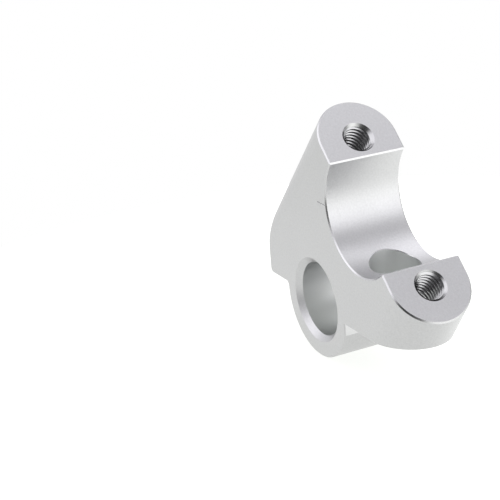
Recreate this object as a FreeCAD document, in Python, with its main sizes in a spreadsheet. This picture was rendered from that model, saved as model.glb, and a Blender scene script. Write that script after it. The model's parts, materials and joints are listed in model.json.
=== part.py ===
import FreeCAD, Part
import math
import os
import Sketcher

# Handlebar riser, one of two alike, milled from one block of aluminium.
# The lower barrel sits on a round stub that runs across the motorcycle. The body
# rises forward from it to a saddle for the handlebar, between two lugs whose
# faces lie in one plane tilted towards the rider and take the cap's two screws.
#
# Millimetres. Origin: middle of the lower bore's axis. +Z up, +X towards the
# rider, Y along both the lower bore and the handlebar.

doc = FreeCAD.newDocument("bar_riser")

SIZES = [
    ("body_width", 22, "width of the body along the handlebar"),
    ("bar_diameter", 32, "handlebar that the saddle holds"),
    ("bar_offset", 25, "handlebar centre ahead of the lower bore, along X"),
    ("bar_rise", 30, "handlebar centre above the lower bore, along Z"),
    ("clamp_tilt", 45, "tilt of the lug faces from level, degrees"),
    ("face_drop", 1.6, "lug faces below the handlebar centre"),
    ("screw_spacing", 43.6, "distance between the cap's two screws"),
    ("upper_lug_reach", 32.6, "handlebar centre to the upper lug's end"),
    ("lower_lug_reach", 31.9, "handlebar centre to the lower lug's end"),
    ("upper_lug_lean", 2.4, "upper lug's end wall off square, degrees"),
    ("lower_lug_lean", 10, "lower lug's end wall off square, degrees"),
    ("back_wall", 26.3, "upright back wall from the lower bore, along X"),
    ("back_step", 0.4, "level step behind the barrel, along Z"),
    ("underside", 2.2, "level underside below the lower bore, along Z"),
    ("front_relief", 0.95, "depth of the narrow upright flat on the barrel's front"),
    ("back_corner_radius", 1.5, "rounded corner of back wall and step"),
    ("step_corner_radius", 1.2, "inside corner of step and barrel"),
    ("barrel_diameter", 31.6, "outside of the lower barrel"),
    ("bore_diameter", 20.2, "lower bore"),
    ("bore_chamfer", 1.5, "chamfer at both ends of the lower bore"),
    ("tap_drill", 6.8, "core hole of the M8 x 1.25 screw threads"),
    ("sink_diameter", 8.6, "countersink over each threaded hole"),
    ("sink_angle", 90, "countersink's full angle, degrees"),
    ("drill_point", 118, "drill tip's full angle, degrees"),
    ("upper_hole_depth", 20, "threaded hole in the upper lug"),
    ("lower_hole_depth", 12, "threaded hole in the lower lug, which opens into the stud hole"),
    ("stud_hole_diameter", 13, "upright hole for an M12 mounting screw"),
    ("stud_hole_offset", 23.2, "upright hole from the lower bore, along X"),
    ("edge_break", 0.5, "chamfer round the lugs and the saddle"),
    ("outer_break", 0.3, "chamfer on the body's other side edges"),
    ("block_margin", 60, "reach of the cuts past the body"),
]


def make_sheet():
    sheet = doc.addObject("Spreadsheet::Sheet", "sizes")
    for row, (alias, value, note) in enumerate(SIZES, start=1):
        sheet.set(f"A{row}", alias)
        sheet.set(f"B{row}", str(value))
        sheet.set(f"C{row}", note)
        sheet.setAlias(f"B{row}", alias)
    doc.recompute()
    return sheet


sheet = make_sheet()
size = {alias: float(sheet.get(alias)) for alias, value, note in SIZES}

# The saddle's own directions: along the lug faces, down the slope towards the
# rider, and straight out of the faces.
TILT = math.radians(size["clamp_tilt"])
ALONG = FreeCAD.Vector(math.cos(TILT), 0, -math.sin(TILT))
OUTWARD = FreeCAD.Vector(math.sin(TILT), 0, math.cos(TILT))
ACROSS = FreeCAD.Vector(0, 1, 0)
BAR_CENTRE = FreeCAD.Vector(size["bar_offset"], 0, size["bar_rise"])

body = doc.addObject("PartDesign::Body", "riser_body")
body.Label = "riser_body"


def origin_plane(role):
    for item in body.Origin.OriginFeatures:
        if item.Role == role:
            return item
    raise ValueError("no origin plane " + role)


def new_sketch(name, role):
    sketch = body.newObject("Sketcher::SketchObject", name)
    sketch.AttachmentSupport = [(origin_plane(role), "")]
    sketch.MapMode = "FlatFace"
    return sketch


def side_sketch(name):
    """Sketch seen from the side: sketch x is X, sketch y is Z."""
    return new_sketch(name, "XZ_Plane")


def clamp_side_sketch(name):
    """Sketch seen from the side, turned with the lugs: x along the lug faces,
    y out of them, origin at the handlebar's centre."""
    sketch = new_sketch(name, "XZ_Plane")
    turn = FreeCAD.Rotation(FreeCAD.Vector(0, 0, 1), -size["clamp_tilt"])
    sketch.AttachmentOffset = FreeCAD.Placement(FreeCAD.Vector(), turn)
    sketch.setExpression("AttachmentOffset.Base.x", "sizes.bar_offset")
    sketch.setExpression("AttachmentOffset.Base.y", "sizes.bar_rise")
    sketch.setExpression("AttachmentOffset.Rotation.Angle", "-sizes.clamp_tilt * 1 deg")
    return sketch


def lug_face_sketch(name):
    """Sketch on the lug faces: x along them, y across the body, origin on the
    line straight below the handlebar's centre."""
    sketch = new_sketch(name, "XY_Plane")
    turn = FreeCAD.Rotation(ACROSS, size["clamp_tilt"])
    sketch.AttachmentOffset = FreeCAD.Placement(FreeCAD.Vector(), turn)
    tilt = "sizes.clamp_tilt * 1 deg"
    sketch.setExpression("AttachmentOffset.Base.x", f"sizes.bar_offset - sizes.face_drop * sin({tilt})")
    sketch.setExpression("AttachmentOffset.Base.z", f"sizes.bar_rise - sizes.face_drop * cos({tilt})")
    sketch.setExpression("AttachmentOffset.Rotation.Angle", tilt)
    return sketch


def bind(sketch, constraint, expression):
    index = sketch.addConstraint(constraint)
    sketch.setExpression(f"Constraints[{index}]", expression)
    return index


def fix_point(sketch, geometry, end, place, x_expression, y_expression):
    """Hold one end of an edge at a place that the sheet gives."""
    bind(sketch, Sketcher.Constraint("DistanceX", -1, 1, geometry, end, place[0]), x_expression)
    bind(sketch, Sketcher.Constraint("DistanceY", -1, 1, geometry, end, place[1]), y_expression)


def add_polygon(sketch, corners):
    """Closed outline of straight lines; each corner is x, y and the two
    expressions that hold it there."""
    first = None
    count = len(corners)
    for number in range(count):
        start = FreeCAD.Vector(corners[number][0], corners[number][1], 0)
        end_corner = corners[(number + 1) % count]
        end = FreeCAD.Vector(end_corner[0], end_corner[1], 0)
        line = sketch.addGeometry(Part.LineSegment(start, end), False)
        if first is None:
            first = line
    for number in range(count):
        here = first + number
        following = first + (number + 1) % count
        sketch.addConstraint(Sketcher.Constraint("Coincident", here, 2, following, 1))
    for number, (x, y, x_expression, y_expression) in enumerate(corners):
        fix_point(sketch, first + number, 1, (x, y), x_expression, y_expression)


def add_circle(sketch, centre, diameter, x_expression, y_expression, diameter_expression):
    circle = Part.Circle(FreeCAD.Vector(centre[0], centre[1], 0), FreeCAD.Vector(0, 0, 1), diameter / 2)
    index = sketch.addGeometry(circle, False)
    fix_point(sketch, index, 3, centre, x_expression, y_expression)
    bind(sketch, Sketcher.Constraint("Diameter", index, diameter), diameter_expression)


def pad_across(name, sketch):
    pad = body.newObject("PartDesign::Pad", name)
    pad.Profile = sketch
    pad.SideType = "Symmetric"
    pad.setExpression("Length", "sizes.body_width")
    return finish(pad, adds=True)


def cut_across(name, sketch):
    pocket = body.newObject("PartDesign::Pocket", name)
    pocket.Profile = sketch
    pocket.SideType = "Symmetric"
    pocket.setExpression("Length", "2 * sizes.body_width")
    return finish(pocket, adds=False)


def finish(feature, adds):
    """Recompute and make sure that the feature really added or cut metal."""
    doc.recompute()
    before = feature.BaseFeature.Shape.Volume if feature.BaseFeature else 0.0
    change = feature.Shape.Volume - before
    if (change > 0) != adds or change == 0:
        raise ValueError(feature.Name + " changed nothing")
    return feature


# Clamp block: both lugs and the metal below them, as a plate with leaning ends.
def make_clamp_block():
    upper = size["upper_lug_reach"]
    lower = size["lower_lug_reach"]
    deep = size["block_margin"]
    top = -size["face_drop"]
    upper_foot = upper - deep * math.tan(math.radians(size["upper_lug_lean"]))
    lower_foot = lower + deep * math.tan(math.radians(size["lower_lug_lean"]))
    upper_text = "sizes.upper_lug_reach - sizes.block_margin * tan(sizes.upper_lug_lean * 1 deg)"
    lower_text = "sizes.lower_lug_reach + sizes.block_margin * tan(sizes.lower_lug_lean * 1 deg)"
    foot_text = "-sizes.face_drop - sizes.block_margin"
    sketch = clamp_side_sketch("clamp_block_outline")
    add_polygon(sketch, [
        (-upper, top, "-sizes.upper_lug_reach", "-sizes.face_drop"),
        (lower, top, "sizes.lower_lug_reach", "-sizes.face_drop"),
        (lower_foot, top - deep, lower_text, foot_text),
        (-upper_foot, top - deep, f"-({upper_text})", foot_text),
    ])
    return pad_across("clamp_block", sketch)


# Upright back wall, level step behind the barrel and level underside.
def cut_back_and_underside():
    far = size["block_margin"]
    back = size["back_wall"]
    step = size["back_step"]
    low = size["underside"]
    far_text = "sizes.block_margin"
    sketch = side_sketch("back_and_underside_outline")
    add_polygon(sketch, [
        (-back, far, "-sizes.back_wall", far_text),
        (-back, step, "-sizes.back_wall", "sizes.back_step"),
        (0, step, "0", "sizes.back_step"),
        (0, -low, "0", "-sizes.underside"),
        (far, -low, far_text, "-sizes.underside"),
        (far, -far, far_text, "-" + far_text),
        (-far, -far, "-" + far_text, "-" + far_text),
        (-far, far, "-" + far_text, far_text),
    ])
    return cut_across("back_and_underside", sketch)


def round_back_corner():
    corner = FreeCAD.Vector(-size["back_wall"], 0, size["back_step"])
    edges = edges_through(corner, ACROSS)
    return dress("PartDesign::Fillet", "back_corner", edges, "Radius", "sizes.back_corner_radius")


def end_wall_slope(lug):
    """Direction up a lug's end wall, in the middle plane."""
    return OUTWARD - ALONG * math.tan(math.radians(size[lug + "_lean"]))


# Lug ends: rounded as half circles across the body's full width, by cutting the
# corners away along the slope of each end wall.
def round_lug_end(lug, side):
    half = size["body_width"] / 2
    far = size["block_margin"]
    centre = size[lug + "_reach"] - half
    half_text = "sizes.body_width / 2"
    centre_text = f"(sizes.{lug}_reach - {half_text})"
    sign = "" if side > 0 else "-"
    sketch = lug_face_sketch(lug + "_end_outline")
    places = [
        (side * centre, half, sign + centre_text, half_text),
        (side * centre, far, sign + centre_text, "sizes.block_margin"),
        (side * far, far, sign + "sizes.block_margin", "sizes.block_margin"),
        (side * far, -far, sign + "sizes.block_margin", "-sizes.block_margin"),
        (side * centre, -far, sign + centre_text, "-sizes.block_margin"),
        (side * centre, -half, sign + centre_text, "-" + half_text),
    ]
    for start, end in zip(places[:-1], places[1:]):
        line = Part.LineSegment(FreeCAD.Vector(start[0], start[1], 0), FreeCAD.Vector(end[0], end[1], 0))
        sketch.addGeometry(line, False)
    for number in range(len(places) - 2):
        sketch.addConstraint(Sketcher.Constraint("Coincident", number, 2, number + 1, 1))
    for number, (x, y, x_text, y_text) in enumerate(places[:-1]):
        fix_point(sketch, number, 1, (x, y), x_text, y_text)
    last = len(places) - 2
    fix_point(sketch, last, 2, places[-1][:2], places[-1][2], places[-1][3])
    first_angle = -math.pi / 2 if side > 0 else math.pi / 2
    circle = Part.Circle(FreeCAD.Vector(side * centre, 0, 0), FreeCAD.Vector(0, 0, 1), half)
    arc = sketch.addGeometry(Part.ArcOfCircle(circle, first_angle, first_angle + math.pi), False)
    top_end, bottom_end = (2, 1) if side > 0 else (1, 2)
    sketch.addConstraint(Sketcher.Constraint("Coincident", arc, top_end, 0, 1))
    sketch.addConstraint(Sketcher.Constraint("Coincident", arc, bottom_end, last, 2))
    bind(sketch, Sketcher.Constraint("DistanceX", -1, 1, arc, 3, side * centre), sign + centre_text)
    pocket = body.newObject("PartDesign::Pocket", lug + "_end")
    pocket.Profile = sketch
    pocket.UseCustomVector = True
    pocket.Direction = end_wall_slope(lug)
    pocket.SideType = "Symmetric"
    pocket.setExpression("Length", "4 * sizes.block_margin")
    return finish(pocket, adds=False)


def make_barrel():
    sketch = side_sketch("barrel_outline")
    add_circle(sketch, (0, 0), size["barrel_diameter"], "0", "0", "sizes.barrel_diameter")
    return pad_across("barrel", sketch)


# The underside's cutter leaves a narrow upright flat down the barrel's front.
def cut_front_relief():
    far = size["block_margin"]
    wall = size["barrel_diameter"] / 2 - size["front_relief"]
    wall_text = "sizes.barrel_diameter / 2 - sizes.front_relief"
    low = size["underside"]
    sketch = side_sketch("front_relief_outline")
    add_polygon(sketch, [
        (wall, -low, wall_text, "-sizes.underside"),
        (far, -low, "sizes.block_margin", "-sizes.underside"),
        (far, -far, "sizes.block_margin", "-sizes.block_margin"),
        (wall, -far, wall_text, "-sizes.block_margin"),
    ])
    return cut_across("front_relief", sketch)


def cut_saddle():
    sketch = side_sketch("saddle_outline")
    centre = (size["bar_offset"], size["bar_rise"])
    add_circle(sketch, centre, size["bar_diameter"], "sizes.bar_offset", "sizes.bar_rise", "sizes.bar_diameter")
    return cut_across("saddle", sketch)


def cut_bore():
    sketch = side_sketch("bore_outline")
    add_circle(sketch, (0, 0), size["bore_diameter"], "0", "0", "sizes.bore_diameter")
    return cut_across("bore", sketch)


# Upright through hole, drilled from the saddle's floor to the underside.
def drill_stud_hole():
    sketch = new_sketch("stud_hole_centre", "XY_Plane")
    sketch.setExpression("AttachmentOffset.Base.z", "sizes.bar_rise")
    add_circle(sketch, (size["stud_hole_offset"], 0), size["stud_hole_diameter"],
               "sizes.stud_hole_offset", "0", "sizes.stud_hole_diameter")
    pocket = body.newObject("PartDesign::Pocket", "stud_hole")
    pocket.Profile = sketch
    pocket.Type = "ThroughAll"
    return finish(pocket, adds=False)


# Threaded holes for the cap's screws, square to the lug faces.
def drill_screw_hole(name, side, depth_name):
    sketch = lug_face_sketch(name + "_centre")
    sign = "" if side > 0 else "-"
    add_circle(sketch, (side * size["screw_spacing"] / 2, 0), size["tap_drill"],
               sign + "sizes.screw_spacing / 2", "0", "sizes.tap_drill")
    doc.recompute()
    hole = body.newObject("PartDesign::Hole", name)
    hole.Profile = sketch
    doc.recompute()
    hole.ThreadType = "None"
    hole.setExpression("Diameter", "sizes.tap_drill")
    hole.DepthType = "Dimension"
    hole.setExpression("Depth", "sizes." + depth_name)
    hole.HoleCutType = "Countersink"
    hole.setExpression("HoleCutDiameter", "sizes.sink_diameter")
    hole.setExpression("HoleCutCountersinkAngle", "sizes.sink_angle")
    hole.DrillPoint = "Angled"
    hole.setExpression("DrillPointAngle", "sizes.drill_point")
    return finish(hole, adds=False)


# Finding edges by where they lie
def edge_middle(edge):
    return edge.valueAt((edge.FirstParameter + edge.LastParameter) / 2)


def edges_where(test):
    shape = body.Tip.Shape
    return [f"Edge{number}" for number, edge in enumerate(shape.Edges, start=1) if test(edge)]


def is_near(value, target):
    return abs(value - target) < 1e-4


def edges_through(place, direction):
    """Straight edges along a direction whose line passes through a place."""
    def test(edge):
        if edge.Curve.TypeId != "Part::GeomLine":
            return False
        if abs(abs(edge.Curve.Direction.dot(direction)) - 1) > 1e-6:
            return False
        gap = edge_middle(edge) - place
        return (gap - direction * gap.dot(direction)).Length < 1e-4
    return edges_where(test)


def dress(kind, name, edges, size_property, expression):
    if not edges:
        raise ValueError("no edges for " + name)
    dressed = body.Tip
    feature = body.newObject(kind, name)
    feature.Base = (dressed, edges)
    feature.setExpression(size_property, expression)
    doc.recompute()
    return feature


def fill_step_corner():
    barrel_side = -math.sqrt((size["barrel_diameter"] / 2) ** 2 - size["back_step"] ** 2)
    corner = FreeCAD.Vector(barrel_side, 0, size["back_step"])
    edges = edges_through(corner, ACROSS)
    return dress("PartDesign::Fillet", "step_corner", edges, "Radius", "sizes.step_corner_radius")


def chamfer_bore():
    radius = size["bore_diameter"] / 2

    def test(edge):
        return edge.Curve.TypeId == "Part::GeomCircle" and is_near(edge.Curve.Radius, radius) \
            and edge.Curve.Center.cross(ACROSS).Length < 1e-4
    return dress("PartDesign::Chamfer", "bore_ends", edges_where(test), "Size", "sizes.bore_chamfer")


# Small chamfer on the outline's side edges. It stops where the lug ends' round
# walls run smoothly into the sides, and leaves the lug faces' own edges.
def break_outline():
    half = size["body_width"] / 2
    wall_slopes = [end_wall_slope(lug).normalize() for lug in ("upper_lug", "lower_lug")]

    def test(edge):
        ends = [vertex.Point for vertex in edge.Vertexes] + [edge_middle(edge)]
        if not all(is_near(abs(point.y), half) for point in ends):
            return False
        if all(is_near((point - BAR_CENTRE).dot(OUTWARD), -size["face_drop"]) for point in ends):
            return False
        if edge.Curve.TypeId != "Part::GeomLine":
            return True
        return all(edge.Curve.Direction.cross(slope).Length > 1e-4 for slope in wall_slopes)
    return dress("PartDesign::Chamfer", "outline_edges", edges_where(test), "Size", "sizes.outer_break")


# Bright chamfer round both lug faces and along both sides of the saddle. The
# screw holes' rims lie in the lug faces too, and keep their countersinks.
def chamfer_lugs_and_saddle():
    half = size["body_width"] / 2
    saddle_radius = size["bar_diameter"] / 2

    def is_screw_rim(edge):
        return edge.Curve.TypeId == "Part::GeomCircle" and not is_near(edge.Curve.Radius, half)

    def in_lug_face(edge):
        for parameter in (edge.FirstParameter, (edge.FirstParameter + edge.LastParameter) / 2):
            height = (edge.valueAt(parameter) - BAR_CENTRE).dot(OUTWARD)
            if not is_near(height, -size["face_drop"]):
                return False
        return not is_screw_rim(edge)

    def on_saddle_side(edge):
        if edge.Curve.TypeId != "Part::GeomCircle" or not is_near(edge.Curve.Radius, saddle_radius):
            return False
        return is_near(abs(edge_middle(edge).y), half)

    edges = edges_where(lambda edge: in_lug_face(edge) or on_saddle_side(edge))
    return dress("PartDesign::Chamfer", "lug_and_saddle_edges", edges, "Size", "sizes.edge_break")


def check_and_export():
    failed = [item.Name for item in doc.Objects if "Invalid" in item.State or "Error" in item.State]
    if failed:
        raise ValueError("failed objects: " + ", ".join(failed))
    shape = body.Shape
    if shape.isNull() or not shape.isValid() or len(shape.Solids) != 1:
        raise ValueError(body.Label + " is not one valid solid")
    os.makedirs("parts", exist_ok=True)
    shape.exportStep(f"parts/{body.Label}.step")
    box = shape.optimalBoundingBox(False, False)
    print(f"{body.Label}: {shape.Volume / 1000:.2f} cm3, {len(shape.Faces)} faces,"
          f" x {box.XMin:.2f} {box.XMax:.2f} y {box.YMin:.2f} {box.YMax:.2f} z {box.ZMin:.2f} {box.ZMax:.2f}")


make_clamp_block()
cut_back_and_underside()
round_back_corner()
round_lug_end("upper_lug", -1)
round_lug_end("lower_lug", 1)
make_barrel()
cut_front_relief()
fill_step_corner()
break_outline()
cut_saddle()
cut_bore()
drill_stud_hole()
drill_screw_hole("upper_screw_hole", -1, "upper_hole_depth")
drill_screw_hole("lower_screw_hole", 1, "lower_hole_depth")
chamfer_bore()
chamfer_lugs_and_saddle()
check_and_export()
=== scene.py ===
# Handlebar riser for a motorcycle, machined from one block of aluminium.
# Metres. Origin: middle of the lower bore's axis. +Z up, +X towards the rider,
# Y along both the lower bore and the handlebar.
import json
import math
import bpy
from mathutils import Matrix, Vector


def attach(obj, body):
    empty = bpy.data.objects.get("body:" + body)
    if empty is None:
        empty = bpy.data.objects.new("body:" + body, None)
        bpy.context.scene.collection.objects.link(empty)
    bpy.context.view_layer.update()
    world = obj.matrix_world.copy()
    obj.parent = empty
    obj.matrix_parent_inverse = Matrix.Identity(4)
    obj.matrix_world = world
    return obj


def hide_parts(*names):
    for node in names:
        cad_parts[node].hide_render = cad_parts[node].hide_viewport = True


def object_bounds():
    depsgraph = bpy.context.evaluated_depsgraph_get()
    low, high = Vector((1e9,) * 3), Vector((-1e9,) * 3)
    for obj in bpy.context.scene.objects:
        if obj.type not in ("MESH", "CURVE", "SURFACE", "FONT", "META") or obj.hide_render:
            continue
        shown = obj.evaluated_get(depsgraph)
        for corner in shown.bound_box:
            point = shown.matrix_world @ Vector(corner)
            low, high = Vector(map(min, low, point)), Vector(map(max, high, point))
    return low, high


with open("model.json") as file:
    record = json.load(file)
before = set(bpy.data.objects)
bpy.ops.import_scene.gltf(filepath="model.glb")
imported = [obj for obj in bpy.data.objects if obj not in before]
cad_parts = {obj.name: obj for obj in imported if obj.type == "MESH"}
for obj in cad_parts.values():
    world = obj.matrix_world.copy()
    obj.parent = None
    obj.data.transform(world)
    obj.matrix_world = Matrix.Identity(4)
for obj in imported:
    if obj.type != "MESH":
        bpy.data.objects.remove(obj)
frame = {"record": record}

from types import SimpleNamespace

import bmesh
import bpy
from mathutils import Matrix, Vector

bl_info = {
    "name": "Handlebar riser",
    "version": (1, 0, 0),
    "blender": (4, 5, 0),
    "location": "3D View > Sidebar > Riser",
    "description": "Machines a handlebar riser over its packed CAD frame",
    "category": "Object",
}

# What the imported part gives
CAD_LOW, CAD_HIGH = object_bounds()
MOUNTS = {mount["name"]: mount for mount in frame["record"]["mounts"]}
SLOT = frame["record"]["materials"][0]
MM = 0.001
ACROSS = Vector((0, 1, 0))
PIECE = "machined_riser"

# How far the tools reach past what they cut
WALL_DEPTH = 60 * MM
OUTLINE_REACH = 80 * MM
DRILL_OVERRUN = 1 * MM
TAP_OVERLAP = 0.05 * MM
# Keeps walls that would share one plane apart, and tells whether points share one
HAIR = 0.001 * MM

# Shapes of the cutting tools and the fineness of their curves
DRILL_POINT = math.radians(118)
THREAD_ANGLE = math.radians(60)
RUN_OUT_TURNS = 0.8
RUN_OUT_SIZE = 0.05
CORNER_STEPS = 16
SCRIBER_SIDES = 12
CREASE = math.radians(24)

# Share of the metal's colour that each finish keeps, at its darkest and its lightest.
# Some shares are painted light: the threads and countersinks are darkened as painted shade
# in the screw holes, the bore is kept darker than other cut metal as painted shade, the
# upright hole is lightened past the metal's colour as painted light, and the milled front
# flat is lightened as a painted highlight
TONES_AND_PAINTED_LIGHT = {
    "blasted": (0.73, 0.75),
    "machined": (0.7, 0.76),
    "highlit_milled": (0.86, 0.92),
    "shaded_bore": (0.79, 0.85),
    "drilled": (0.96, 1.02),
    "shaded_countersink": (0.58, 0.64),
    "tapped": (0.52, 0.6),
}
# Finishes that take the painted tint of the light inside the bore and the upright hole
INSIDE_FINISHES = ("shaded_bore", "drilled")
# How far the roughness of blasted and of cut metal varies either way
BLASTED_SPREAD = 0.03
CUT_SPREAD = 0.04
# A noise texture's spots are about this large at scale 1, and nearly all of its
# values lie between these two
NOISE_SIZE = 0.5
NOISE_MIDDLE = (0.3, 0.7)

# Round patches of the surround, each by the setting that gives its strength: its
# direction from the part, and how many degrees off that it is even and has faded out
LIGHT_PATCHES = {
    "left_light": ((-0.23, -0.63, 0.74), 20, 40),
    "right_light": ((0.88, 0.47, 0.1), 17, 35),
    "top_light": ((-0.27, 0.47, 0.84), 12, 36),
}
DARK_PATCHES = {
    "camera_gap": ((0.81, -0.57, 0.17), 23, 34),
    "high_gap": ((0.5, -0.45, 0.74), 13, 27),
    "side_gap": ((0.6, -0.79, -0.16), 16, 30),
    "top_gap": ((0.5, 0.48, 0.71), 4, 24),
    "dim_side": ((0.08, 0.97, -0.2), 12, 27),
    "dim_back": ((-0.5, 0.85, -0.12), 18, 40),
}
# Heights in the surround between which the light's tint goes from warm to cool
WARM_BELOW, COOL_ABOVE = -0.3, 0.5
# Places across the body between which the light through the floor rises
RISE_START, RISE_END = -5 * MM, 35 * MM
FLOOR_SIDES = 128
# The camera's right, up and back
CAMERA_AXES = (
    (0.43787, 0.89523, -0.08266),
    (-0.26060, 0.21438, 0.94134),
    (0.86044, -0.39064, 0.32717),
)


def mount_radius(name):
    return MOUNTS[name]["dims"]["r_mm"] * MM


def mount_place(name):
    return Vector(MOUNTS[name]["pos_m"])


# Sizes and finishes that a user may change
def length(name, description, default):
    return bpy.props.FloatProperty(
        name=name, description=description, default=default, min=0.0, precision=4, unit="LENGTH")


def angle(name, description, degrees):
    return bpy.props.FloatProperty(
        name=name, description=description, default=math.radians(degrees), subtype="ANGLE")


def place(name, description, default):
    return bpy.props.FloatVectorProperty(
        name=name, description=description, default=default, size=3, precision=4, subtype="TRANSLATION")


def share(name, description, default, most=1.0):
    return bpy.props.FloatProperty(
        name=name, description=description, default=default, min=0.0, max=most, precision=3)


def count(name, description, default):
    return bpy.props.IntProperty(name=name, description=description, default=default, min=3)


def colour(name, description, default):
    return bpy.props.FloatVectorProperty(
        name=name, description=description, default=default, size=3, min=0.0, max=1.0, subtype="COLOR")


class RiserSizes(bpy.types.PropertyGroup):
    width: length("Width", "Body's width along the handlebar", CAD_HIGH.y - CAD_LOW.y)
    bar_centre: place("Handlebar centre", "Middle of the saddle's axis", mount_place("handlebar_saddle"))
    saddle_radius: length("Saddle radius", "Radius of the handlebar that the saddle holds",
                          mount_radius("handlebar_saddle"))
    tilt: angle("Clamp tilt", "Tilt of the lug faces towards the rider", 45)
    face_drop: length("Face drop", "Lug faces below the handlebar's centre", 1.6 * MM)
    upper_reach: length("Upper lug reach", "Handlebar centre to the upper lug's end", 32.6 * MM)
    lower_reach: length("Lower lug reach", "Handlebar centre to the lower lug's end", 31.9 * MM)
    upper_lean: angle("Upper lug lean", "Upper lug's end wall off square", 2.4)
    lower_lean: angle("Lower lug lean", "Lower lug's end wall off square", 10)
    back_wall: length("Back wall", "Upright back wall from the lower bore", -CAD_LOW.x)
    back_step: length("Back step", "Height of the level step behind the barrel", 0.4 * MM)
    back_corner: length("Back corner", "Radius between back wall and step", 1.5 * MM)
    step_corner: length("Step corner", "Radius between step and barrel", 1.2 * MM)
    barrel_radius: length("Barrel radius", "Outside of the lower barrel", -CAD_LOW.z)
    front_relief: length("Front relief", "Depth of the narrow upright flat on the barrel", 0.95 * MM)
    underside: length("Underside", "Level underside below the lower bore", 2.2 * MM)
    bore_radius: length("Bore radius", "Lower bore", mount_radius("lower_bore"))
    bore_chamfer: length("Bore chamfer", "Chamfer at both ends of the bore", 1.5 * MM)
    stud_place: place("Stud hole", "A point on the upright hole's axis", mount_place("stud_hole"))
    stud_radius: length("Stud hole radius", "Upright hole for the mounting screw", mount_radius("stud_hole"))
    stud_break: length("Stud hole edge", "Broken edge round the upright hole", 0.13 * MM)
    edge_break: length("Edge chamfer", "Chamfer round the lug faces and the saddle", 0.34 * MM)
    outer_break: length("Outline chamfer", "Chamfer on the outline's side edges", 0.3 * MM)
    mark_radius: length("Index line", "Half the width of the scribed index line", 0.13 * MM)
    mark_start: place("Index line start", "The line's outer end", (4.7 * MM, CAD_LOW.y, 28.55 * MM))
    mark_end: place("Index line end", "The line's end at the saddle", (9.2 * MM, CAD_LOW.y, 28.45 * MM))
    facets: count("Facets", "Facets round a full circle", 256)


class RiserThreads(bpy.types.PropertyGroup):
    core_radius: length("Core radius", "Tapping drill in both lugs", mount_radius("upper_screw_hole"))
    thread_radius: length("Thread radius", "Root of the thread", 4.0 * MM)
    pitch: length("Pitch", "Rise of the thread in one turn", 1.25 * MM)
    root_flat: length("Root flat", "Flat at the thread's root", 0.156 * MM)
    sink_radius: length("Countersink radius", "Countersink at the lug face", 4.3 * MM)
    spacing: length("Screw spacing", "Distance between the two screws", 43.6 * MM)
    upper_depth: length("Upper hole depth", "Drilled depth in the upper lug", 20 * MM)
    lower_depth: length("Lower hole depth", "Drilled depth in the lower lug", 12 * MM)
    upper_tapped: length("Upper thread depth", "Depth that the tap reaches in the upper lug", 17.8 * MM)
    lower_tapped: length("Lower thread depth", "Depth that the tap reaches in the lower lug", 12 * MM)
    upper_start: length("Upper thread start", "Height above the lug face where the tap enters", 1.5 * MM)
    lower_start: length("Lower thread start", "Height above the lug face where the tap enters", 0.8 * MM)
    steps: count("Steps", "Steps in one turn of the thread", 64)


class RiserFinish(bpy.types.PropertyGroup):
    metal: colour("Metal", "Clear-anodised aluminium", SLOT["base_color"])
    # Painted tint of the light inside the bore and the upright hole
    painted_hole_tint: colour("Inside tint", "Tint of the metal inside the bore and the upright hole",
                        (0.985, 1.0, 0.98))
    blasted: share("Blasted roughness", "Roughness of the blasted surfaces", 0.42)
    machined: share("Machined roughness", "Roughness of the bright chamfers", 0.22)
    highlit_milled: share("Milled roughness", "Roughness of the narrow front flat", 0.3)
    shaded_bore: share("Bored roughness", "Roughness inside the bore", 0.38)
    drilled: share("Drilled roughness", "Roughness inside the upright hole", 0.5)
    shaded_countersink: share("Countersunk roughness", "Roughness of the countersinks", 0.23)
    tapped: share("Tapped roughness", "Roughness of the threads", 0.17)
    clouds: bpy.props.FloatProperty(
        name="Clouds", description="Faint clouds of the blasting in a metre", default=70.0, min=0.0)
    grain: length("Blast grain", "Size of the dimples that the blasting leaves", 0.24 * MM)
    speckle: share("Speckle", "How much the dimples vary in brightness", 0.05)
    tool_marks: length("Tool marks", "Spacing of the fine lines on cut metal", 0.12 * MM)


class StudioSettings(bpy.types.PropertyGroup):
    floor: colour("Floor", "Pale floor", (0.15, 0.15, 0.15))
    floor_roughness: share("Floor roughness", "Roughness of the floor", 0.9)
    floor_glow: share("Floor glow", "Light that comes up through the floor", 0.9, 10.0)
    floor_rise: share("Floor rise", "How much more comes up on the far side", 0.32, 10.0)
    floor_reach: length("Floor reach", "Radius of the floor", 160 * MM)
    surround: share("Surround", "Brightness of the white surround", 1.0, 10.0)
    left_light: share("Left soft box", "Brightness that the left soft box adds", 0.7, 10.0)
    right_light: share("Right soft box", "Brightness that the right soft box adds", 1.0, 10.0)
    top_light: share("Top soft box", "Brightness that the soft box above the back adds", 0.7, 10.0)
    camera_gap: share("Camera gap", "Share of the light missing round the camera", 0.86)
    high_gap: share("High gap", "Share of the light missing above the camera", 0.82)
    side_gap: share("Side gap", "Share of the light missing low on the camera's left", 0.7)
    top_gap: share("Top gap", "Share of the light missing between the right and the top soft box", 0.45)
    dim_side: share("Dim side", "Share of the light missing low on the far side", 0.55)
    dim_back: share("Dim back", "Share of the light missing behind the part", 0.62)
    warm_tint: colour("Tint from below", "Tint of the light from below and the sides", (0.988, 1.0, 0.972))
    cool_tint: colour("Tint from above", "Tint of the light from above", (0.972, 0.965, 1.0))
    lens: bpy.props.FloatProperty(
        name="Lens", description="Focal length on a 36 mm sensor", default=95.86, min=1.0, unit="CAMERA")
    camera_place: place("Camera", "Where the camera stands", (0.29335, -0.16209, 0.12972))


# Directions and places of the clamp
def down_slope(sizes):
    """Along the lug faces, down towards the rider."""
    return Vector((math.cos(sizes.tilt), 0, -math.sin(sizes.tilt)))


def out_of_faces(sizes):
    return Vector((math.sin(sizes.tilt), 0, math.cos(sizes.tilt)))


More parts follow.
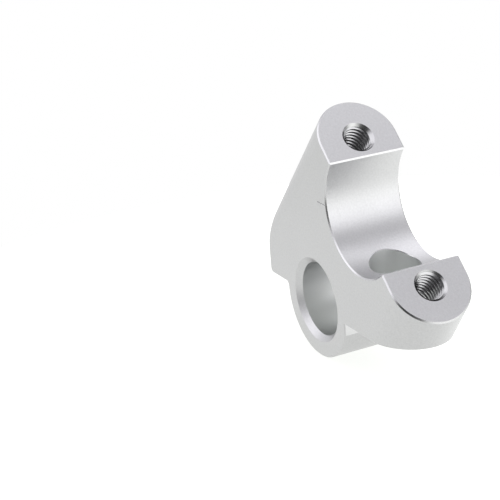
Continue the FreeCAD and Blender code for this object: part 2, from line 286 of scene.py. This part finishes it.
def clamp_point(sizes, u, v, w):
    """A place given along the lug faces, across the body and out of the faces."""
    return Vector(sizes.bar_centre) + down_slope(sizes) * u + ACROSS * v + out_of_faces(sizes) * w


# Solids made of rings
def arc(centre, radius, first, last, steps):
    """Points on an arc, angles in radians, both ends included."""
    points = []
    for number in range(steps + 1):
        turn = first + (last - first) * number / steps
        points.append((centre[0] + radius * math.cos(turn), centre[1] + radius * math.sin(turn)))
    return points


def circle(centre, radius, steps):
    return arc(centre, radius, 0, 2 * math.pi, steps)[:-1]


def solid(name, rings, finishes):
    """Closed solid through rings of points. A ring of one point closes to a tip.
    finishes is one material, or a list: the first end's, one for each band between
    two rings, and the last end's."""
    faces = finishes if isinstance(finishes, list) else [finishes] * (len(rings) + 1)
    first_end, *bands, last_end = faces
    slots = list(dict.fromkeys(faces))
    shape = bmesh.new()
    loops = [[shape.verts.new(point) for point in ring] for ring in rings]
    for lower, upper, finish in zip(loops[:-1], loops[1:], bands):
        corners = max(len(lower), len(upper))
        for number in range(corners):
            following = (number + 1) % corners
            face = [lower[number % len(lower)], lower[following % len(lower)]]
            face += [upper[following % len(upper)], upper[number % len(upper)]]
            face = list(dict.fromkeys(face))
            shape.faces.new(face).material_index = slots.index(finish)
    for loop, finish in ((loops[0], first_end), (loops[-1], last_end)):
        if len(loop) > 1:
            shape.faces.new(loop).material_index = slots.index(finish)
    bmesh.ops.recalc_face_normals(shape, faces=shape.faces)
    mesh = bpy.data.meshes.new(name)
    shape.to_mesh(mesh)
    shape.free()
    for finish in slots:
        mesh.materials.append(finish)
    return add_object(name, mesh)


def add_object(name, mesh):
    made = bpy.data.objects.new(name, mesh)
    bpy.context.scene.collection.objects.link(made)
    return made


def round_tool(name, stations, start, axis, side, facets, finishes):
    """Turned tool: each station is a distance from the start along the axis, and a
    radius. side is any direction square to the axis."""
    other = axis.cross(side)
    rings = []
    for distance, radius in stations:
        middle = start + axis * distance
        if radius == 0:
            rings.append([middle])
            continue
        rings.append([middle + side * a + other * b for a, b in circle((0, 0), radius, facets)])
    return solid(name, rings, finishes)


def flared_mill(name, sizes, centre, side, radius, chamfer, wall, flare):
    """Mill that cuts right across the body, with a chamfer at each side of it."""
    half = sizes.width / 2
    wide = radius + 2 * chamfer
    stations = [(-half - chamfer, wide), (chamfer - half, radius)]
    stations += [(half - chamfer, radius), (half + chamfer, wide)]
    finishes = [flare, flare, wall, flare, flare]
    return round_tool(name, stations, centre, ACROSS, side, sizes.facets, finishes)


def plain_mesh(made):
    """Settle an object's modifiers into its mesh."""
    bpy.context.view_layer.update()
    evaluated = made.evaluated_get(bpy.context.evaluated_depsgraph_get())
    mesh = bpy.data.meshes.new_from_object(evaluated)
    made.modifiers.clear()
    old = made.data
    made.data = mesh
    if old.users == 0:
        bpy.data.meshes.remove(old)
    return made


def machine(piece, tool, operation="DIFFERENCE"):
    """Cut the piece with a tool, or keep what both share, and put the tool away."""
    step = piece.modifiers.new(tool.name, "BOOLEAN")
    step.object = tool
    step.operation = operation
    step.solver = "EXACT"
    step.material_mode = "TRANSFER"
    plain_mesh(piece)
    bpy.data.objects.remove(tool)
    if not piece.data.polygons:
        raise RuntimeError("nothing is left of " + piece.name)


# Node trees
def add_node(tree, kind, **settings):
    made = tree.nodes.new(kind)
    for name, value in settings.items():
        setattr(made, name, value)
    return made


def join(tree, source, output, target, entry):
    tree.links.new(source.outputs[output], target.inputs[entry])


def add_range(tree, source, output, given, wanted, interpolation="LINEAR"):
    """Map a value from one range of numbers to another."""
    mapped = add_node(tree, "ShaderNodeMapRange", interpolation_type=interpolation)
    join(tree, source, output, mapped, "Value")
    mapped.inputs["From Min"].default_value, mapped.inputs["From Max"].default_value = given
    mapped.inputs["To Min"].default_value, mapped.inputs["To Max"].default_value = wanted
    return mapped


def add_mix(tree, source, output, first, second):
    """Mix two colours by a value."""
    mixed = add_node(tree, "ShaderNodeMix", data_type="RGBA")
    join(tree, source, output, mixed, 0)
    mixed.inputs[6].default_value = (*first, 1)
    mixed.inputs[7].default_value = (*second, 1)
    return mixed


def new_material(name):
    material = bpy.data.materials.new(name)
    material.use_nodes = True
    tree = material.node_tree
    tree.nodes.clear()
    shader = add_node(tree, "ShaderNodeBsdfPrincipled")
    output = add_node(tree, "ShaderNodeOutputMaterial")
    join(tree, shader, "BSDF", output, "Surface")
    return material, tree, shader


def around(value, spread):
    return value - spread, value + spread


def add_noise(tree, where, scale, detail):
    noise = add_node(tree, "ShaderNodeTexNoise")
    noise.inputs["Scale"].default_value = scale
    noise.inputs["Detail"].default_value = detail
    join(tree, where, "Object", noise, "Vector")
    return noise


def add_relief(tree, noise, shader, strength, depth):
    bump = add_node(tree, "ShaderNodeBump")
    bump.inputs["Strength"].default_value = strength
    bump.inputs["Distance"].default_value = depth
    join(tree, noise, "Fac", bump, "Height")
    join(tree, bump, "Normal", shader, "Normal")


def blasted_metal(name, finish, dark, light, roughness):
    """Bead-blasted metal under clear anodising: fine even dimples over faint clouds."""
    material, tree, shader = new_material(name)
    shader.inputs["Metallic"].default_value = 1.0
    where = add_node(tree, "ShaderNodeTexCoord")
    clouds = add_noise(tree, where, finish.clouds, detail=3.0)
    tint = add_mix(tree, clouds, "Fac", dark, light)
    gloss = add_range(tree, clouds, "Fac", NOISE_MIDDLE, around(roughness, BLASTED_SPREAD))
    join(tree, gloss, "Result", shader, "Roughness")
    dimples = add_noise(tree, where, NOISE_SIZE / finish.grain, detail=4.0)
    speckle = add_range(tree, dimples, "Fac", NOISE_MIDDLE, around(1, finish.speckle))
    grainy = add_node(tree, "ShaderNodeVectorMath", operation="SCALE")
    join(tree, tint, 2, grainy, 0)
    join(tree, speckle, "Result", grainy, "Scale")
    join(tree, grainy, "Vector", shader, "Base Color")
    add_relief(tree, dimples, shader, strength=0.9, depth=0.03 * MM)
    return material


def cut_metal(name, finish, dark, light, roughness):
    """Metal that a tool has cut: its tint, gloss and relief follow fine tool marks."""
    material, tree, shader = new_material(name)
    shader.inputs["Metallic"].default_value = 1.0
    where = add_node(tree, "ShaderNodeTexCoord")
    marks = add_noise(tree, where, NOISE_SIZE / finish.tool_marks, detail=2.0)
    tint = add_mix(tree, marks, "Fac", dark, light)
    join(tree, tint, 2, shader, "Base Color")
    gloss = add_range(tree, marks, "Fac", (0, 1), around(roughness, CUT_SPREAD))
    join(tree, gloss, "Result", shader, "Roughness")
    add_relief(tree, marks, shader, strength=0.15, depth=0.01 * MM)
    return material


def metal_finishes(scene):
    """The finishes of the metal by name, made once: blasted outside, bright chamfers, a front flat lightened
    as a painted highlight, a satin bore kept darker as painted shade and a satin upright hole lightened as
    painted light, both with a painted tint of the light in them, and screw holes darkened as painted shade."""
    finish = scene.riser_finish
    made = {}
    for name, (darkest, lightest) in TONES_AND_PAINTED_LIGHT.items():
        title = name + "_aluminium"
        metal = Vector(finish.metal)
        # Inside the bore and the upright hole the colour takes the painted tint of the light there
        if name in INSIDE_FINISHES:
            metal *= Vector(finish.painted_hole_tint)
        make = blasted_metal if name == "blasted" else cut_metal
        made[name] = bpy.data.materials.get(title) or make(
            title, finish, metal * darkest, metal * lightest, getattr(finish, name))
    return SimpleNamespace(**made)


# Body
def lug_outline(sizes, depth, inset):
    """Outline of both lugs at a depth below their faces: round ends as wide as the
    body, which slide down the slope with the lean of the end walls."""
    half = sizes.width / 2
    upper = half - sizes.upper_reach + depth * math.tan(sizes.upper_lean)
    lower = sizes.lower_reach - half + depth * math.tan(sizes.lower_lean)
    radius = half + HAIR - inset
    quarter = math.pi / 2
    outline = arc((lower, 0), radius, -quarter, quarter, sizes.facets // 2)
    outline += arc((upper, 0), radius, quarter, 3 * quarter, sizes.facets // 2)
    return [clamp_point(sizes, u, v, -sizes.face_drop - depth) for u, v in outline]


def side_outline(sizes, inset):
    """Outline from the side: back wall, rounded corner, step, inside corner, barrel,
    narrow front flat and underside. The far corners lie outside the lugs."""
    outline = [(inset - sizes.back_wall, OUTLINE_REACH)]
    corner = (sizes.back_corner - sizes.back_wall, sizes.back_step + sizes.back_corner)
    outline += arc(corner, sizes.back_corner - inset, math.pi, 1.5 * math.pi, CORNER_STEPS)
    hollow_height = sizes.back_step - sizes.step_corner
    reach = sizes.barrel_radius + sizes.step_corner
    hollow = (-math.sqrt(reach ** 2 - hollow_height ** 2), hollow_height)
    meeting = math.atan2(-hollow[1], -hollow[0])
    outline += arc(hollow, sizes.step_corner + inset, math.pi / 2, meeting, CORNER_STEPS)
    radius = sizes.barrel_radius - inset
    wall = sizes.barrel_radius - sizes.front_relief - inset
    barrel = arc((0, 0), radius, meeting - math.pi, -math.acos(wall / radius), sizes.facets // 2)
    outline += barrel[1:]
    floor = inset - sizes.underside
    outline += [(wall, floor), (OUTLINE_REACH, floor), (OUTLINE_REACH, OUTLINE_REACH)]
    return outline


def finish_flat(tool, x, finish):
    """Give the upright faces of a tool that stand at x another finish."""
    mesh = tool.data
    mesh.materials.append(finish)
    for face in mesh.polygons:
        if all(abs(mesh.vertices[corner].co.x - x) < HAIR for corner in face.vertices):
            face.material_index = len(mesh.materials) - 1


def make_blank(scene):
    """Block with both lugs, cut to the outline that the side view gives."""
    sizes = scene.riser_sizes
    metal = metal_finishes(scene)
    levels = [lug_outline(sizes, 0, sizes.edge_break)]
    levels.append(lug_outline(sizes, sizes.edge_break, 0))
    levels.append(lug_outline(sizes, WALL_DEPTH, 0))
    blank = solid(PIECE, levels, [metal.blasted, metal.machined, metal.blasted, metal.blasted])
    half = sizes.width / 2
    chamfer = sizes.outer_break
    rings = []
    for y, inset in ((-half, chamfer), (chamfer - half, 0), (half - chamfer, 0), (half, chamfer)):
        rings.append([Vector((x, y, z)) for x, z in side_outline(sizes, inset)])
    outline = solid("outline_tool", rings, metal.blasted)
    # The front flat takes a milled finish, glossier and lighter than the blasted metal: its lighter colour
    # is a painted highlight on that flat
    finish_flat(outline, sizes.barrel_radius - sizes.front_relief, metal.highlit_milled)
    machine(blank, outline, "INTERSECT")
    return blank


def wedge_tool(sizes, side, machined):
    """Three-sided tool for the chamfer between a lug face and the saddle."""
    face = sizes.face_drop
    rim = math.sqrt(sizes.saddle_radius ** 2 - face ** 2)
    turn = math.asin(face / sizes.saddle_radius) + sizes.edge_break / sizes.saddle_radius
    on_face = Vector((rim + sizes.edge_break, -face))
    on_wall = Vector((sizes.saddle_radius * math.cos(turn), -sizes.saddle_radius * math.sin(turn)))
    slope = on_wall - on_face
    corners = [on_face - slope, on_wall + slope, Vector((rim - sizes.edge_break, 0))]
    rings = []
    for v in (-sizes.width, sizes.width):
        rings.append([clamp_point(sizes, side * corner.x, v, corner.y) for corner in corners])
    return solid("wedge_tool", rings, machined)


def cut_saddle(scene, piece):
    """Half-round seat for the handlebar, with chamfers along all its edges."""
    sizes = scene.riser_sizes
    metal = metal_finishes(scene)
    machine(piece, flared_mill("saddle_tool", sizes, Vector(sizes.bar_centre), down_slope(sizes),
                               sizes.saddle_radius, sizes.edge_break, metal.blasted, metal.machined))
    for side in (-1, 1):
        machine(piece, wedge_tool(sizes, side, metal.machined))


def cut_bore(scene, piece):
    """Lower bore for the round stub, chamfered at both ends."""
    sizes = scene.riser_sizes
    metal = metal_finishes(scene)
    # The bore's wall takes a finish darker than the other cut metal: painted shade inside the bore
    machine(piece, flared_mill("bore_tool", sizes, Vector(), Vector((1, 0, 0)),
                               sizes.bore_radius, sizes.bore_chamfer, metal.shaded_bore, metal.blasted))


def drill_stud_hole(scene, piece):
    """Upright hole from the saddle's floor to the underside, with both edges broken.
    The upper edge follows the saddle's curve."""
    sizes = scene.riser_sizes
    metal = metal_finishes(scene)
    centre = Vector(sizes.stud_place)
    bar = Vector(sizes.bar_centre)
    edge = sizes.stud_break
    low = -sizes.underside

    def saddle_height(x):
        return bar.z - math.sqrt(sizes.saddle_radius ** 2 - (x - bar.x) ** 2)

    def ring(radius, height):
        points = circle((centre.x, 0), radius, sizes.facets // 2)
        return [Vector((x, y, height(x))) for x, y in points]

    hole = sizes.stud_radius
    wide = hole + 2 * edge
    rings = [ring(wide, lambda x: bar.z), ring(wide, lambda x: saddle_height(x) + edge)]
    rings += [ring(hole, lambda x: saddle_height(x) - edge), ring(hole, lambda x: low + edge)]
    rings += [ring(wide, lambda x: low - edge)]
    # The hole's wall takes a finish lighter than the metal's colour: painted light inside the upright hole
    faces = [metal.machined] * 3 + [metal.drilled] + [metal.machined] * 2
    machine(piece, solid("stud_hole_tool", rings, faces))


def screw_point(scene, side, height):
    """A place on a screw hole's axis, by its height above the lug face."""
    sizes = scene.riser_sizes
    return clamp_point(sizes, side * scene.riser_threads.spacing / 2, 0, height - sizes.face_drop)


def drill_screw_hole(scene, piece, side, depth):
    """Tapping hole square to a lug face, with its countersink and drilled tip."""
    sizes = scene.riser_sizes
    threads = scene.riser_threads
    metal = metal_finishes(scene)
    core = threads.core_radius
    sink = threads.sink_radius
    tip = depth + core / math.tan(DRILL_POINT / 2)
    stations = [(-DRILL_OVERRUN, sink + DRILL_OVERRUN), (sink - core, core), (depth, core), (tip, 0)]
    # The countersink and the hole's wall take darkened finishes: painted shade in the screw hole
    faces = [metal.shaded_countersink] * 2 + [metal.tapped] * 3
    machine(piece, round_tool("drill_tool", stations, screw_point(scene, side, 0), -out_of_faces(sizes),
                              down_slope(sizes), threads.steps * 2, faces))


# Trees of Geometry Nodes
def new_geometry_tree(name, kinds):
    """Tree with named inputs of the given kinds, which puts out one geometry."""
    tree = bpy.data.node_groups.new(name, "GeometryNodeTree")
    tree.interface.new_socket("Geometry", in_out="INPUT", socket_type="NodeSocketGeometry")
    for label, kind in kinds.items():
        tree.interface.new_socket(label, in_out="INPUT", socket_type="NodeSocket" + kind)
    tree.interface.new_socket("Geometry", in_out="OUTPUT", socket_type="NodeSocketGeometry")
    return tree, add_node(tree, "NodeGroupInput")


def end_tree(tree, given, made, output):
    """Realize what the tree has made and give it its finish."""
    whole = add_node(tree, "GeometryNodeRealizeInstances")
    join(tree, made, output, whole, "Geometry")
    finished = add_node(tree, "GeometryNodeSetMaterial")
    join(tree, whole, "Geometry", finished, "Geometry")
    join(tree, given, "Finish", finished, "Material")
    join(tree, finished, "Geometry", add_node(tree, "NodeGroupOutput"), "Geometry")


def grow(name, tree, values):
    """Plain mesh from a node tree, with its inputs set by the sockets' identifiers."""
    made = add_object(name, bpy.data.meshes.new(name))
    nodes = made.modifiers.new(name, "NODES")
    nodes.node_group = tree
    sockets = {item.name: item.identifier for item in tree.interface.items_tree if item.in_out == "INPUT"}
    for label, value in values.items():
        nodes[sockets[label]] = value
    return plain_mesh(made)


# Threads
def thread_tree():
    """Groove of a screw thread: a wedge profile carried along a helix, which runs
    out at its lower end."""
    sizes = ("Radius", "Pitch", "Turns", "Mouth width", "Root width", "Depth", "Run-out")
    kinds = {label: "Float" for label in sizes}
    kinds.update({"Steps": "Int", "Place": "Vector", "Turn": "Vector", "Finish": "Material"})
    tree, given = new_geometry_tree("thread_groove", kinds)

    height = add_node(tree, "ShaderNodeMath", operation="MULTIPLY")
    join(tree, given, "Pitch", height, 0)
    join(tree, given, "Turns", height, 1)
    helix = add_node(tree, "GeometryNodeCurveSpiral")
    helix.inputs["Reverse"].default_value = True
    join(tree, given, "Steps", helix, "Resolution")
    join(tree, given, "Turns", helix, "Rotations")
    join(tree, given, "Radius", helix, "Start Radius")
    join(tree, given, "Radius", helix, "End Radius")
    join(tree, height, 0, helix, "Height")
    upright = add_node(tree, "GeometryNodeSetCurveNormal", mode="Z_UP")
    join(tree, helix, "Curve", upright, "Curve")

    wedge = add_node(tree, "GeometryNodeCurvePrimitiveQuadrilateral", mode="TRAPEZOID")
    join(tree, given, "Mouth width", wedge, "Bottom Width")
    join(tree, given, "Root width", wedge, "Top Width")
    join(tree, given, "Depth", wedge, "Height")
    wedge.inputs["Offset"].default_value = 0.0
    middle = add_node(tree, "ShaderNodeMath", operation="MULTIPLY")
    join(tree, given, "Depth", middle, 0)
    middle.inputs[1].default_value = 0.5
    lift = add_node(tree, "ShaderNodeCombineXYZ")
    join(tree, middle, 0, lift, "X")
    seated = add_node(tree, "GeometryNodeTransform")
    seated.inputs["Rotation"].default_value = (0, 0, -math.pi / 2)
    join(tree, wedge, "Curve", seated, "Geometry")
    join(tree, lift, "Vector", seated, "Translation")

    along = add_node(tree, "GeometryNodeSplineParameter")
    start = add_node(tree, "ShaderNodeMath", operation="SUBTRACT")
    start.inputs[0].default_value = 1.0
    join(tree, given, "Run-out", start, 1)
    fade = add_range(tree, along, "Factor", (0, 1), (1, RUN_OUT_SIZE))
    join(tree, start, 0, fade, "From Min")
    groove = add_node(tree, "GeometryNodeCurveToMesh")
    groove.inputs["Fill Caps"].default_value = True
    join(tree, upright, "Curve", groove, "Curve")
    join(tree, seated, "Geometry", groove, "Profile Curve")
    join(tree, fade, "Result", groove, "Scale")

    placed = add_node(tree, "GeometryNodeTransform")
    join(tree, groove, "Mesh", placed, "Geometry")
    join(tree, given, "Place", placed, "Translation")
    join(tree, given, "Turn", placed, "Rotation")
    end_tree(tree, given, placed, "Geometry")
    return tree


def tap_hole(scene, piece, tree, side, depth, above):
    """Cut the thread into one screw hole, from above the lug face down to a depth."""
    threads = scene.riser_threads
    inside = threads.core_radius - TAP_OVERLAP
    reach = threads.thread_radius - inside
    mouth = threads.root_flat + 2 * reach * math.tan(THREAD_ANGLE / 2)
    turns = (depth + above) / threads.pitch
    # The thread takes a darkened finish: painted shade deep in the screw hole
    tap = grow("thread_tool", tree, {
        "Radius": inside, "Pitch": threads.pitch, "Turns": turns, "Steps": threads.steps,
        "Mouth width": mouth, "Root width": threads.root_flat, "Depth": reach,
        "Run-out": RUN_OUT_TURNS / turns, "Place": screw_point(scene, side, above),
        "Turn": (0, scene.riser_sizes.tilt + math.pi, 0), "Finish": metal_finishes(scene).tapped})
    machine(piece, tap)


# Index mark: one short scribed line that runs level into the saddle's near edge
def mark_tree():
    """Scribed line: a round point carried along a straight path."""
    kinds = {"Start": "Vector", "End": "Vector", "Radius": "Float", "Finish": "Material"}
    tree, given = new_geometry_tree("scribed_line", kinds)
    path = add_node(tree, "GeometryNodeCurvePrimitiveLine")
    join(tree, given, "Start", path, "Start")
    join(tree, given, "End", path, "End")
    point = add_node(tree, "GeometryNodeCurvePrimitiveCircle")
    point.inputs["Resolution"].default_value = SCRIBER_SIDES
    join(tree, given, "Radius", point, "Radius")
    notch = add_node(tree, "GeometryNodeCurveToMesh")
    notch.inputs["Fill Caps"].default_value = True
    join(tree, path, "Curve", notch, "Curve")
    join(tree, point, "Curve", notch, "Profile Curve")
    end_tree(tree, given, notch, "Mesh")
    return tree


def scribe_mark(scene, piece):
    sizes = scene.riser_sizes
    # The line takes the darkened thread finish: painted shade in its groove
    line = grow("mark_tool", mark_tree(), {
        "Start": Vector(sizes.mark_start), "End": Vector(sizes.mark_end), "Radius": sizes.mark_radius,
        "Finish": metal_finishes(scene).tapped})
    machine(piece, line)


def shade(piece):
    """Smooth round faces, flat flats and crisp edges."""
    piece.data.shade_smooth()
    piece.data.set_sharp_from_angle(angle=CREASE)
    settle = piece.modifiers.new("even_shading", "WEIGHTED_NORMAL")
    settle.mode = "FACE_AREA"
    settle.weight = 100
    settle.keep_sharp = True
    plain_mesh(piece)


# Studio
def lay_floor(scene):
    """Round pale floor under the barrel, lit from below like a light table, more so
    beyond the part's far side."""
    studio = scene.riser_studio
    disc = bmesh.new()
    bmesh.ops.create_circle(disc, cap_ends=True, radius=studio.floor_reach, segments=FLOOR_SIDES)
    bmesh.ops.translate(disc, verts=disc.verts, vec=(0, 0, -scene.riser_sizes.barrel_radius))
    mesh = bpy.data.meshes.new("studio_floor")
    disc.to_mesh(mesh)
    disc.free()
    material, tree, shader = new_material("pale_floor")
    shader.inputs["Base Color"].default_value = (*studio.floor, 1)
    shader.inputs["Roughness"].default_value = studio.floor_roughness
    shader.inputs["Emission Color"].default_value = (*studio.warm_tint, 1)
    where = add_node(tree, "ShaderNodeTexCoord")
    aside = add_node(tree, "ShaderNodeVectorMath", operation="DOT_PRODUCT")
    join(tree, where, "Object", aside, 0)
    aside.inputs[1].default_value = ACROSS
    strengths = (studio.floor_glow, studio.floor_glow + studio.floor_rise)
    glow = add_range(tree, aside, "Value", (RISE_START, RISE_END), strengths, "SMOOTHSTEP")
    join(tree, glow, "Result", shader, "Emission Strength")
    mesh.materials.append(material)
    add_object("studio_floor", mesh)


def change_patch(tree, where, total, operation, patch, outside, inside):
    """Add to the surround's light, or multiply it, by one amount inside a round patch
    and by another outside it, with a soft border."""
    aim, even, faded = patch
    towards = add_node(tree, "ShaderNodeVectorMath", operation="DOT_PRODUCT")
    join(tree, where, "Generated", towards, 0)
    towards.inputs[1].default_value = Vector(aim).normalized()
    border = (math.cos(math.radians(faded)), math.cos(math.radians(even)))
    amount = add_range(tree, towards, "Value", border, (outside, inside), "SMOOTHSTEP")
    changed = add_node(tree, "ShaderNodeMath", operation=operation)
    join(tree, total, 0, changed, 0)
    join(tree, amount, "Result", changed, 1)
    return changed


def light_studio(scene):
    """White surround with three soft boxes, dark gaps between them and a dimmer stretch
    behind the part. The camera sees a plain white backdrop."""
    studio = scene.riser_studio
    world = bpy.data.worlds.new("studio_surround")
    world.use_nodes = True
    tree = world.node_tree
    where = add_node(tree, "ShaderNodeTexCoord")
    total = add_node(tree, "ShaderNodeValue")
    total.outputs[0].default_value = studio.surround
    for name, patch in LIGHT_PATCHES.items():
        total = change_patch(tree, where, total, "ADD", patch, 0, getattr(studio, name))
    for name, patch in DARK_PATCHES.items():
        total = change_patch(tree, where, total, "MULTIPLY", patch, 1, 1 - getattr(studio, name))
    seen = add_node(tree, "ShaderNodeLightPath")
    strength = add_node(tree, "ShaderNodeMix")
    join(tree, seen, "Is Camera Ray", strength, 0)
    join(tree, total, 0, strength, 2)
    strength.inputs[3].default_value = studio.surround
    axes = add_node(tree, "ShaderNodeSeparateXYZ")
    join(tree, where, "Generated", axes, "Vector")
    height = add_range(tree, axes, "Z", (WARM_BELOW, COOL_ABOVE), (0, 1))
    tint = add_mix(tree, height, "Result", studio.warm_tint, studio.cool_tint)
    white = (1, 1, 1)
    backdrop = add_mix(tree, seen, "Is Camera Ray", white, white)
    join(tree, tint, 2, backdrop, 6)
    surround = tree.nodes["Background"]
    join(tree, strength, 0, surround, "Strength")
    join(tree, backdrop, 2, surround, "Color")
    scene.world = world
    scene.view_settings.view_transform = "Standard"


def place_camera(scene):
    """Camera at the photograph's angle."""
    studio = scene.riser_studio
    lens = bpy.data.cameras.new("camera")
    lens.lens = studio.lens
    lens.sensor_width = 36.0
    lens.clip_start = 0.01
    lens.clip_end = 50.0
    camera = bpy.data.objects.new("camera", lens)
    turn = Matrix(CAMERA_AXES).transposed().to_4x4()
    camera.matrix_world = Matrix.Translation(Vector(studio.camera_place)) @ turn
    scene.collection.objects.link(camera)
    scene.camera = camera


# Operators
def find_piece():
    piece = bpy.data.objects.get(PIECE)
    if piece is None:
        raise RuntimeError("machine the body first")
    return piece


class RISER_OT_body(bpy.types.Operator):
    """Machine the riser's body with its saddle, bore and upright hole"""
    bl_idname = "riser.body"
    bl_label = "Machine body"

    def execute(self, context):
        scene = context.scene
        piece = make_blank(scene)
        cut_saddle(scene, piece)
        cut_bore(scene, piece)
        drill_stud_hole(scene, piece)
        return {"FINISHED"}


class RISER_OT_threads(bpy.types.Operator):
    """Drill, countersink and tap both screw holes"""
    bl_idname = "riser.threads"
    bl_label = "Tap screw holes"

    def execute(self, context):
        scene = context.scene
        piece = find_piece()
        threads = scene.riser_threads
        tree = thread_tree()
        for side, drilled, tapped, above in (
                (-1, threads.upper_depth, threads.upper_tapped, threads.upper_start),
                (1, threads.lower_depth, threads.lower_tapped, threads.lower_start)):
            drill_screw_hole(scene, piece, side, drilled)
            tap_hole(scene, piece, tree, side, tapped, above)
        return {"FINISHED"}


class RISER_OT_mark(bpy.types.Operator):
    """Scribe the index line beside the saddle"""
    bl_idname = "riser.mark"
    bl_label = "Scribe index line"

    def execute(self, context):
        scribe_mark(context.scene, find_piece())
        return {"FINISHED"}


class RISER_OT_finish(bpy.types.Operator):
    """Shade the body and let it stand for its CAD node"""
    bl_idname = "riser.finish"
    bl_label = "Finish body"

    def execute(self, context):
        piece = find_piece()
        shade(piece)
        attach(piece, "root")
        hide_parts("riser_body")
        return {"FINISHED"}


class RISER_OT_stage(bpy.types.Operator):
    """Lay the floor, light the studio and place the camera"""
    bl_idname = "riser.stage"
    bl_label = "Set stage"

    def execute(self, context):
        lay_floor(context.scene)
        light_studio(context.scene)
        place_camera(context.scene)
        return {"FINISHED"}


class RISER_PT_panel(bpy.types.Panel):
    bl_label = "Handlebar riser"
    bl_idname = "RISER_PT_panel"
    bl_space_type = "VIEW_3D"
    bl_region_type = "UI"
    bl_category = "Riser"

    def draw(self, context):
        column = self.layout.column()
        for operator in OPERATORS:
            column.operator(operator.bl_idname)
        for name in GROUPS:
            settings = getattr(context.scene, name)
            box = self.layout.box()
            for label in settings.__annotations__:
                box.prop(settings, label)


GROUPS = {
    "riser_sizes": RiserSizes,
    "riser_threads": RiserThreads,
    "riser_finish": RiserFinish,
    "riser_studio": StudioSettings,
}
OPERATORS = (RISER_OT_body, RISER_OT_threads, RISER_OT_mark, RISER_OT_finish, RISER_OT_stage)
CLASSES = (*GROUPS.values(), *OPERATORS, RISER_PT_panel)


def register():
    for item in CLASSES:
        bpy.utils.register_class(item)
    for name, group in GROUPS.items():
        setattr(bpy.types.Scene, name, bpy.props.PointerProperty(type=group))


def unregister():
    for name in GROUPS:
        delattr(bpy.types.Scene, name)
    for item in reversed(CLASSES):
        bpy.utils.unregister_class(item)


def main():
    register()
    bpy.ops.riser.body()
    bpy.ops.riser.threads()
    bpy.ops.riser.mark()
    bpy.ops.riser.finish()
    bpy.ops.riser.stage()


if __name__ == "__main__":
    main()
